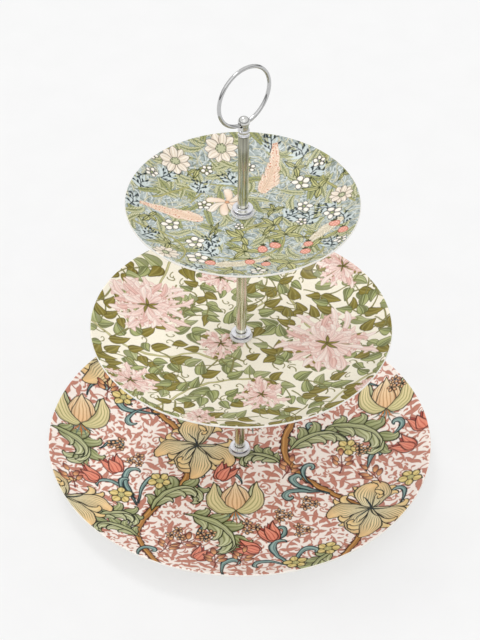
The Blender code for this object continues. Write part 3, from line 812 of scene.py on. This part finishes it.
class Plate:
    """One plate's sizes, read from its own box and from the washers above and below it."""

    def __init__(self, node, pad, cushion):
        self.node = node
        self.radius = high(self.node).x
        self.foot = low(self.node).z
        self.underside = high(pad).z + GAP
        self.well = low(cushion).z - GAP
        self.lip_height = high(self.node).z - LIP_RADIUS  # of the centre of its rounding
        self.edge_radius = self.radius - LIP_RADIUS * (1 + sin(RIM_SLOPE))  # where slope and lip meet
        self.rise = self.lip_height + LIP_RADIUS * cos(RIM_SLOPE) - self.well
        self.flat_radius = self.edge_radius - 2 * self.rise / tan(RIM_SLOPE)

    def surface(self, radius):
        """Height of the glaze at a distance from the axis, over the slope and onto the lip."""
        share = np.clip((radius - self.flat_radius) / (self.edge_radius - self.flat_radius), 0.0, 1.0)
        from_lip = np.clip(radius - (self.radius - LIP_RADIUS), -LIP_RADIUS, LIP_RADIUS)
        lip = self.lip_height + np.sqrt(LIP_RADIUS**2 - from_lip**2)
        return np.where(radius < self.edge_radius, self.well + self.rise * share**2, lip)


PLATES = {
    "bottom": Plate("bottom_plate", "foot_pad", "lower_cushion"),
    "middle": Plate("middle_plate", "middle_pad", "middle_cushion"),
    "top": Plate("top_plate", "top_pad", "upper_cushion"),
}


# ---- materials

def feed(tree, node, inputs):
    """Gives each named input of a node its value, or links it to another node's output."""
    for name, value in inputs.items():
        if isinstance(value, bpy.types.NodeSocket):
            tree.links.new(value, node.inputs[name])
        else:
            node.inputs[name].default_value = value


def new_node(tree, kind, inputs=None):
    made = tree.nodes.new("ShaderNode" + kind)
    feed(tree, made, inputs or {})
    return made


def material(name, fill, **settings):
    """A material whose Principled shader takes the inputs that fill makes in its node tree."""
    made = bpy.data.materials.new(name)
    made.use_nodes = True
    tree = made.node_tree
    feed(tree, tree.nodes["Principled BSDF"], fill(tree, **settings))
    return made


def noise(tree, scale, detail=3.0, stretch=(1.0, 1.0, 1.0)):
    """Noise through the object's own space, optionally stretched; scale is in features per metre."""
    place = new_node(tree, "TexCoord")
    mapping = new_node(tree, "Mapping", {"Vector": place.outputs["Object"], "Scale": stretch})
    settings = {"Vector": mapping.outputs["Vector"], "Scale": scale, "Detail": detail}
    return new_node(tree, "TexNoise", settings).outputs["Fac"]


def ramp(tree, source, stops):
    """A value spread over stops, each a position with its grey value or its colour."""
    made = new_node(tree, "ValToRGB", {"Fac": source})
    for element, (position, value) in zip(made.color_ramp.elements, stops.items()):
        colour = value if isinstance(value, Sequence) else (value, value, value)
        element.position = position
        element.color = (*colour, 1.0)
    return made.outputs["Color"]


def mottled(tree, source, low_value, high_value):
    """The noise's middle range, spread between two values or two colours."""
    return ramp(tree, source, {0.35: low_value, 0.65: high_value})


def height_share(tree):
    """How far up its piece's own box a point is; in the world, the height of a direction."""
    place = new_node(tree, "TexCoord")
    return new_node(tree, "SeparateXYZ", {"Vector": place.outputs["Generated"]}).outputs["Z"]


def times(tree, colour, factor):
    """Two colours multiplied."""
    mix = tree.nodes.new("ShaderNodeMix")
    mix.data_type = "RGBA"
    mix.blend_type = "MULTIPLY"
    feed(tree, mix, {"Factor": 1.0, "A": colour, "B": factor})
    return mix.outputs["Result"]


def relief(tree, source, strength, distance):
    """The surface's direction, tilted by the source's unevenness."""
    made = new_node(tree, "Bump", {"Height": source, "Strength": strength, "Distance": distance})
    return made.outputs["Normal"]


def glazed(tree, colour):
    """Colour under a clear gloss that is very slightly uneven."""
    return {
        "Base Color": colour,
        "Roughness": 0.25,
        "Specular IOR Level": 0.15,
        "Coat Weight": 0.12,
        "Coat Roughness": 0.04,
        "Normal": relief(tree, noise(tree, 180.0), 0.05, 0.2 * MM),
    }


def china(tree):
    """Warm white bone china."""
    return glazed(tree, mottled(tree, noise(tree, 60.0), (0.86, 0.83, 0.77), (0.90, 0.875, 0.82)))


def printed(tree):
    """A print under the glaze: its colours lie on the mesh, and fine mottling breaks them up like ink."""
    inks = new_node(tree, "Attribute")
    inks.attribute_name = "inks"
    return glazed(tree, times(tree, inks.outputs["Color"], mottled(tree, noise(tree, 900.0), 0.94, 1.0)))


def polished(tree, stretch, tone, rough, contrast=1.07):
    """Polished steel with faint marks along one direction."""
    marks = noise(tree, 1500.0, 2.0, stretch)
    return {
        "Base Color": mottled(tree, marks, tone, [contrast * part for part in tone]),
        "Roughness": mottled(tree, marks, rough, 1.7 * rough),
        "Metallic": 1.0,
        "Anisotropic Rotation": 0.25,
        "Normal": relief(tree, marks, 0.03, 0.05 * MM),
    }


def drawn(tree):
    """Drawn steel: it smears its reflections along Z. Its dark olive tone and strong dark streaks are
    painted reflection of the prints and of darker surroundings, and painted shade darkens each rod towards
    its top, up under the plate above.
    """
    # painted reflection: the dark olive tone and the strong streaks (contrast 2.0) stand in for reflected
    # prints and darker surroundings
    inputs = polished(tree, stretch=(0.5, 0.5, 0.006), tone=(0.46, 0.455, 0.39), rough=0.1, contrast=2.0)
    # painted shade: the base colour darkens towards the top of each rod, under the plate above
    shade = ramp(tree, height_share(tree), {0.45: 1.0, 1.0: (0.45, 0.45, 0.42)})
    return {**inputs, "Base Color": times(tree, inputs["Base Color"], shade), "Anisotropic": 0.7}


def plated(tree):
    """Zinc plating: duller, and mottled from the bath."""
    bath = noise(tree, 700.0)
    return {
        "Base Color": mottled(tree, bath, (0.52, 0.53, 0.54), (0.66, 0.66, 0.64)),
        "Roughness": mottled(tree, bath, 0.28, 0.42),
        "Metallic": 1.0,
    }


def clear_plastic(tree):
    """A slightly milky clear plastic."""
    return {
        "Base Color": mottled(tree, noise(tree, 400.0), 0.90, 0.97),
        "Roughness": 0.12,
        "IOR": 1.45,
        "Transmission Weight": 0.2,
    }


def soft_rubber(tree):
    """Matt off-white rubber with a fine grain."""
    grain = noise(tree, 2500.0)
    return {
        "Base Color": mottled(tree, grain, (0.74, 0.73, 0.69), (0.84, 0.83, 0.79)),
        "Roughness": 0.7,
        "Normal": relief(tree, grain, 0.2, 0.05 * MM),
    }


def table_top(tree):
    """A pale table that glows faintly, which keeps the shadows on it light."""
    return {
        "Base Color": mottled(tree, noise(tree, 30.0), 0.355, 0.365),
        "Roughness": 0.9,
        "Specular IOR Level": 0.05,
        "Emission Color": (1.0, 1.0, 1.0, 1.0),
        "Emission Strength": 0.52,
    }


# ---- shapes

SHARP = radians(35)  # edges that turn further than this stay sharp


def put(thing):
    """Puts an object into the scene."""
    bpy.context.scene.collection.objects.link(thing)
    return thing


def add(name, points, faces, finish):
    """A smooth piece of one material, from its points and faces."""
    mesh = bpy.data.meshes.new(name)
    mesh.from_pydata(points, [], faces)
    mesh.validate()
    mesh.materials.append(finish)
    mesh.shade_smooth()
    mesh.set_sharp_from_angle(angle=SHARP)
    return put(bpy.data.objects.new(name, mesh))


def arc(centre, radius, start, end, steps=10):
    """Points along an arc in the (radius, height) plane."""
    angles = [start + (end - start) * i / steps for i in range(steps + 1)]
    return [(centre[0] + radius * cos(a), centre[1] + radius * sin(a)) for a in angles]


def turned(name, outline, finish, steps):
    """A piece turned about Z. The outline's (radius, height) points go outwards along the top, then down.

    An outline that starts and ends on the axis is solid; any other is closed round a hole.
    """
    turns = [(cos(tau * i / steps), sin(tau * i / steps)) for i in range(steps)]
    points = []
    rings = []
    for radius, height in outline:
        first = len(points)
        on_axis = radius == 0.0
        points += [(0.0, 0.0, height)] if on_axis else [(radius * c, radius * s, height) for c, s in turns]
        rings.append([first] * steps if on_axis else list(range(first, first + steps)))
    if outline[0][0] > 0.0:
        rings.append(rings[0])
    faces = []
    for inner, outer in zip(rings, rings[1:]):
        for i in range(steps):
            j = (i + 1) % steps
            faces.append(list(dict.fromkeys((inner[i], outer[i], outer[j], inner[j]))))
    return add(name, points, faces, finish)


def seat(piece, node, stands_in=True):
    """The piece moves with a node's body; it stands for the node, or lies on it."""
    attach(piece, BODIES[node])
    if stands_in:
        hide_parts(node)


def turned_part(node, outline, finish, steps=96):
    """A turned piece that stands for a node."""
    seat(turned(node + "_turned", outline, finish, steps), node)


# ---- china

TURN_STEPS = 256
LIP_STEPS = 12
SLOPE_STEPS = 32
HOLE_RADIUS = 3.0 * MM
FOOT_TO_PLATE = 0.55
FOOT_WIDTH = 4.6 * MM
FOOT_ROUNDING = 1.0 * MM
PRINT_MARGIN = 0.45 * MM  # the print runs over the crest of the lip
PRINT_DEPTH = 0.06 * MM


def build_plate(plate, finish):
    """A coupe plate: flat well, parabolic slope, rounded lip, and a foot ring underneath."""
    radii = np.linspace(plate.flat_radius, plate.edge_radius, SLOPE_STEPS + 1)
    slope = [(float(r), float(plate.surface(r))) for r in radii]
    lip_centre = (plate.radius - LIP_RADIUS, plate.lip_height)
    lip = arc(lip_centre, LIP_RADIUS, UP + RIM_SLOPE, UP + RIM_SLOPE - pi, LIP_STEPS)
    lip_radius, lip_base = lip[-1]
    foot_outer = FOOT_TO_PLATE * plate.radius
    foot_inner = foot_outer - FOOT_WIDTH

    def under(share):
        """A point of the underside's slope, from its foot at 0 to the lip at 1."""
        radius = plate.flat_radius + share * (lip_radius - plate.flat_radius)
        return radius, plate.underside + share**2 * (lip_base - plate.underside)

    slope_under = [under(1 - i / SLOPE_STEPS) for i in range(1, SLOPE_STEPS)]
    slope_under = [point for point in slope_under if point[0] > max(plate.flat_radius, foot_outer)]
    share = max(0.0, (foot_outer - plate.flat_radius) / (lip_radius - plate.flat_radius))
    foot_base = plate.foot + FOOT_ROUNDING
    outline = [(HOLE_RADIUS, plate.well)] + slope + lip[1:] + slope_under + [(foot_outer, under(share)[1])]
    outline += arc((foot_outer - FOOT_ROUNDING, foot_base), FOOT_ROUNDING, 0.0, -UP, 5)
    outline += arc((foot_inner + FOOT_ROUNDING, foot_base), FOOT_ROUNDING, -UP, -pi, 5)
    outline += [(foot_inner, plate.underside), (HOLE_RADIUS, plate.underside)]
    seat(turned(plate.node + "_china", outline, finish, TURN_STEPS), plate.node)


def disc_grid(half_steps):
    """A square grid drawn onto the unit disc without stretching: points as a (side, side, 2) array."""
    side = np.linspace(-1.0, 1.0, 2 * half_steps + 1)
    a, b = np.meshgrid(side, side)
    wide = np.abs(a) > np.abs(b)
    radius = np.where(wide, a, b)
    with np.errstate(divide="ignore", invalid="ignore"):
        angle = np.where(wide, pi / 4 * b / a, pi / 2 - pi / 4 * a / b)
    angle = np.nan_to_num(angle)
    return np.stack([radius * np.cos(angle), radius * np.sin(angle)], axis=-1)


def build_print(plate, painting, cell, finish):
    """The print as a fine sheet on the glaze, coloured point by point from its painting."""
    reach = plate.radius - PRINT_MARGIN
    half_steps = int(reach / cell)
    x, y = (disc_grid(half_steps) * reach).reshape(-1, 2).T
    radius = np.hypot(x, y)
    points = np.stack([x, y, plate.surface(radius) + PRINT_DEPTH], axis=-1)
    side = 2 * half_steps + 1
    index = np.arange(side * side).reshape(side, side)
    corners = [index[:-1, :-1], index[:-1, 1:], index[1:, 1:], index[1:, :-1]]
    faces = np.stack(corners, axis=-1).reshape(-1, 4)
    faces = faces[(radius[faces] > HOLE_RADIUS + cell).all(axis=1)]
    used, faces = np.unique(faces, return_inverse=True)
    faces = faces.reshape(-1, 4)
    mesh = bpy.data.meshes.new(plate.node + "_print")
    mesh.vertices.add(len(used))
    mesh.vertices.foreach_set("co", points[used].astype(np.float32).ravel())
    mesh.loops.add(faces.size)
    mesh.loops.foreach_set("vertex_index", faces.astype(np.int32).ravel())
    mesh.polygons.add(len(faces))
    mesh.polygons.foreach_set("loop_start", np.arange(0, faces.size, 4, dtype=np.int32))
    mesh.update(calc_edges=True)
    mesh.shade_smooth()
    c, s = cos(VIEW_AZIMUTH), sin(VIEW_AZIMUTH)
    u = (x * c + y * s)[used] / MM
    v = (y * c - x * s)[used] / MM
    colours = np.ones((len(used), 4), np.float32)
    colours[:, :3] = painting.inks_at(u, v)
    inks = mesh.color_attributes.new("inks", "FLOAT_COLOR", "POINT")
    inks.data.foreach_set("color", colours.ravel())
    mesh.materials.append(finish)
    seat(put(bpy.data.objects.new(plate.node + "_print", mesh)), plate.node, stands_in=False)


# ---- column

BORE = 2.4 * MM  # the hole through washers, flanges and the collar
ROD_RADIUS = high("lower_rod").x
ROD_STEPS = 64
GROOVE_DEPTH = 2.2 * MM
SOCKET_RADIUS = 2.3 * MM
SOCKET_DEPTH = 12.0 * MM
THREAD_RADIUS = high("lower_stud").x
BALL_RADIUS = 3.85 * MM
NECK_RADIUS = 3.1 * MM
EYE_RADIUS = 1.95 * MM
EYE_REACH = 10.0 * MM  # past the ball on both sides
WIRE_RADIUS = high("ring_handle").y


def build_washer(node, base, top, finish, rounding=0.3 * MM):
    """A washer with its outer edges rounded."""
    radius = high(node).x
    rounding = min(rounding, (top - base) / 2.01)
    upper = arc((radius - rounding, top - rounding), rounding, UP, 0.0, 5)
    lower = arc((radius - rounding, base + rounding), rounding, 0.0, -UP, 5)
    turned_part(node, [(BORE, top)] + upper + lower + [(BORE, base)], finish)


def build_flange(node, finish):
    """A rod's foot: a low rim, a dark groove, a coned disc over it, and a fine bead round the rod's seat."""
    base, top, radius = low(node).z, high(node).z, high(node).x
    tall = top - base
    bead = 0.3 * MM
    seat_radius = ROD_RADIUS + 0.25 * MM
    rim, edge = 0.12 * tall, 0.09 * tall
    disc_base = base + 0.6 * tall
    outline = [(BORE, top - 2 * bead), (seat_radius, top - 2 * bead)]
    outline += arc((seat_radius + bead, top - bead), bead, pi, 0.0, 8)
    outline += [(seat_radius + 2 * bead, top - 1.8 * bead)]
    outline += arc((radius - 0.3 * MM - edge, disc_base + edge), edge, 1.9, -UP, 10)
    outline += [(radius - GROOVE_DEPTH, disc_base), (radius - GROOVE_DEPTH, base + 2 * rim)]
    outline += arc((radius - rim, base + rim), rim, UP, -UP, 10)
    turned_part(node, outline + [(BORE, base)], finish)


def build_rod(node, finish):
    """A rod with chamfered ends and a blind socket in each."""
    base, top = low(node).z, high(node).z
    chamfer = 0.3 * MM
    outline = [(0.0, top - SOCKET_DEPTH), (SOCKET_RADIUS, top - SOCKET_DEPTH), (SOCKET_RADIUS, top)]
    outline += arc((ROD_RADIUS - chamfer, top - chamfer), chamfer, UP, 0.0, 4)
    outline += arc((ROD_RADIUS - chamfer, base + chamfer), chamfer, 0.0, -UP, 4)
    outline += [(SOCKET_RADIUS, base), (SOCKET_RADIUS, base + SOCKET_DEPTH), (0.0, base + SOCKET_DEPTH)]
    turned_part(node, outline, finish, ROD_STEPS)


def build_collar(finish):
    """A spool: a rounded bead at each end and a waist between them."""
    node = "finial_collar"
    base, top, radius = low(node).z, high(node).z, high(node).x
    bead = 0.55 * MM
    waist = radius - 0.4 * MM
    outline = [(BORE, top)] + arc((radius - bead, top - bead), bead, UP, -0.9, 8)
    outline += [(waist, top - 2.4 * bead), (waist, base + 2.4 * bead)]
    outline += arc((radius - bead, base + bead), bead, 0.9, -UP, 8) + [(BORE, base)]
    turned_part(node, outline, finish, ROD_STEPS)


def cut(piece, cutter):
    """Takes the cutter's shape out of the piece for good."""
    boolean = piece.modifiers.new("Cut", "BOOLEAN")
    boolean.operation = "DIFFERENCE"
    boolean.solver = "EXACT"
    boolean.object = cutter
    evaluated = piece.evaluated_get(bpy.context.evaluated_depsgraph_get())
    mesh = bpy.data.meshes.new_from_object(evaluated)
    piece.modifiers.clear()
    piece.data = mesh
    mesh.shade_smooth()
    mesh.set_sharp_from_angle(angle=SHARP)
    bpy.data.objects.remove(cutter, do_unlink=True)


def build_finial(finish):
    """A ball on a short neck, with an eye drilled through for the ring and a tang below."""
    top, tang_end = high("finial").z, low("finial").z
    chamfer = 0.4 * MM
    shoulder = high("finial_collar").z + SLIP
    outline = arc((0.0, top - BALL_RADIUS), BALL_RADIUS, UP, -acos(NECK_RADIUS / BALL_RADIUS), 24)
    outline[0] = (0.0, top)
    outline += [(NECK_RADIUS, shoulder), (THREAD_RADIUS, shoulder), (THREAD_RADIUS, tang_end + chamfer)]
    outline += [(THREAD_RADIUS - chamfer, tang_end), (0.0, tang_end)]
    piece = turned("finial_turned", outline, finish, ROD_STEPS)
    drill = [(0.0, EYE_REACH), (EYE_RADIUS, EYE_REACH), (EYE_RADIUS, -EYE_REACH), (0.0, -EYE_REACH)]
    eye = turned("finial_eye", drill, finish, 48)
    eye.data.transform(Matrix.Rotation(pi / 2, 4, "Y"))
    eye.data.transform(Matrix.Translation((0.0, 0.0, low("ring_handle").z + WIRE_RADIUS)))
    cut(piece, eye)
    seat(piece, "finial")


def build_ring(finish):
    """A round wire ring, upright, its lowest wire through the finial's eye."""
    base, top = low("ring_handle").z, high("ring_handle").z
    bpy.ops.mesh.primitive_torus_add(
        major_radius=(top - base) / 2 - WIRE_RADIUS,
        minor_radius=WIRE_RADIUS,
        major_segments=160,
        minor_segments=24,
    )
    piece = bpy.context.object
    piece.name = "ring_handle_wire"
    piece.data.transform(Matrix.Rotation(pi / 2, 4, "X"))
    piece.data.transform(Matrix.Translation((0.0, 0.0, (top + base) / 2)))
    piece.data.materials.append(finish)
    piece.data.shade_smooth()
    seat(piece, "ring_handle")


def build_column():
    """Everything on the axis; the bolt and the studs are hidden and keep their CAD shapes."""
    rod_steel = material("rod_steel", drawn)
    turned_steel = material(
        "turned_steel", polished, stretch=(0.3, 0.3, 1.0), tone=(0.74, 0.74, 0.77), rough=0.12
    )
    ball_steel = material(
        "polished_steel", polished, stretch=(1.0, 1.0, 0.3), tone=(0.62, 0.62, 0.60), rough=0.07
    )
    ring_steel = material(
        "ring_steel", polished, stretch=(0.3, 0.3, 0.3), tone=(0.52, 0.52, 0.52), rough=0.08
    )
    zinc = material("plated_steel", plated)
    clear = material("clear_washer", clear_plastic)
    rubber = material("soft_washer", soft_rubber)
    for prefix in ("lower", "middle", "upper"):
        flange, cushion = prefix + "_flange", prefix + "_cushion"
        build_rod(prefix + "_rod", rod_steel)
        build_flange(flange, turned_steel)
        base = low(cushion).z - GAP + 2 * PRINT_DEPTH
        build_washer(cushion, base, low(flange).z - SLIP, clear, 0.5 * MM)
    for plate, metal, pad, finish, lift in (
        ("bottom", "foot_washer", "foot_pad", zinc, 0.0),
        ("middle", "lower_washer", "middle_pad", turned_steel, GAP),
        ("top", "middle_washer", "top_pad", turned_steel, GAP),
    ):
        build_washer(pad, high(metal).z + SLIP, PLATES[plate].underside, rubber)
        build_washer(metal, low(metal).z - lift, high(metal).z, finish)
    build_collar(turned_steel)
    build_finial(ball_steel)
    build_ring(ring_steel)
    for node in ("foot_bolt", "lower_stud", "middle_stud"):
        hidden = frame["nodes"][node]
        hidden.data.materials.clear()
        hidden.data.materials.append(zinc)


# ---- room, light and camera

VIEW_DISTANCE = 1.6
TARGET_HEIGHT = 161.4 * MM
SENSOR = 36.0
LENS = 136.0
SHIFT_X, SHIFT_Y = -0.0028, -0.0586
CAMERA_ROLL = radians(0.75)
HALF_FLOOR = 6.0


def build_floor():
    corners = [(HALF_FLOOR * x, HALF_FLOOR * y, 0.0) for x, y in ((-1, -1), (1, -1), (1, 1), (-1, 1))]
    add("studio_floor", corners, [(0, 1, 2, 3)], material("studio_floor", table_top))


def direction(azimuth, elevation):
    """Where a viewer at these angles is; azimuth 0 looks along +Y. Angles are in radians."""
    level = cos(elevation)
    return Vector((sin(azimuth) * level, -cos(azimuth) * level, sin(elevation)))


def build_light(name, turn, elevation, spread, strength):
    """A wide soft sun; turn is its angle round the stand from the camera. Angles are in degrees."""
    towards = direction(VIEW_AZIMUTH + radians(turn), radians(elevation))
    data = bpy.data.lights.new(name, "SUN")
    data.angle = radians(spread)
    data.energy = strength
    light = put(bpy.data.objects.new(name, data))
    light.location = towards
    light.rotation_euler = (-towards).to_track_quat("-Z", "Y").to_euler()


def build_world():
    """Bright overhead and dark low down, which the steel reflects, with a pale backdrop for the camera."""
    world = bpy.data.worlds.new("studio")
    world.use_nodes = True
    tree = world.node_tree
    sky = tree.nodes["Background"]
    feed(tree, sky, {"Color": ramp(tree, height_share(tree), {0.06: 0.18, 0.38: 1.0}), "Strength": 0.98})
    backdrop = new_node(tree, "Background", {"Color": (0.92, 0.92, 0.92, 1.0)})
    choice = new_node(tree, "MixShader", {
        "Fac": new_node(tree, "LightPath").outputs["Is Camera Ray"],
        1: sky.outputs["Background"],
        2: backdrop.outputs["Background"],
    })
    feed(tree, tree.nodes["World Output"], {"Surface": choice.outputs["Shader"]})
    bpy.context.scene.world = world


def build_camera():
    data = bpy.data.cameras.new("camera")
    data.sensor_width = SENSOR
    data.lens = LENS
    data.shift_x, data.shift_y = SHIFT_X, SHIFT_Y
    data.clip_start, data.clip_end = 0.05, 50.0
    back = direction(VIEW_AZIMUTH, VIEW_ELEVATION)
    camera = put(bpy.data.objects.new("camera", data))
    camera.location = Vector((0.0, 0.0, TARGET_HEIGHT)) + VIEW_DISTANCE * back
    upright = (-back).to_track_quat("-Z", "Y").to_matrix()
    camera.rotation_euler = (upright @ Matrix.Rotation(CAMERA_ROLL, 3, "Z")).to_euler()
    bpy.context.scene.camera = camera


def build():
    build_camera()
    build_floor()
    build_world()
    build_light("window", turn=-140, elevation=66, spread=18, strength=0.55)
    build_light("fill", turn=0, elevation=58, spread=60, strength=0.32)
    bpy.context.scene.view_settings.view_transform = "Standard"
    white = material("bone_china", china)
    for name, (paint, cell) in PRINTS.items():
        plate = PLATES[name]
        build_plate(plate, white)
        cell_size = cell * MM * 1.0
        build_print(plate, paint(), cell_size, material(name + "_print", printed))
    build_column()


build()
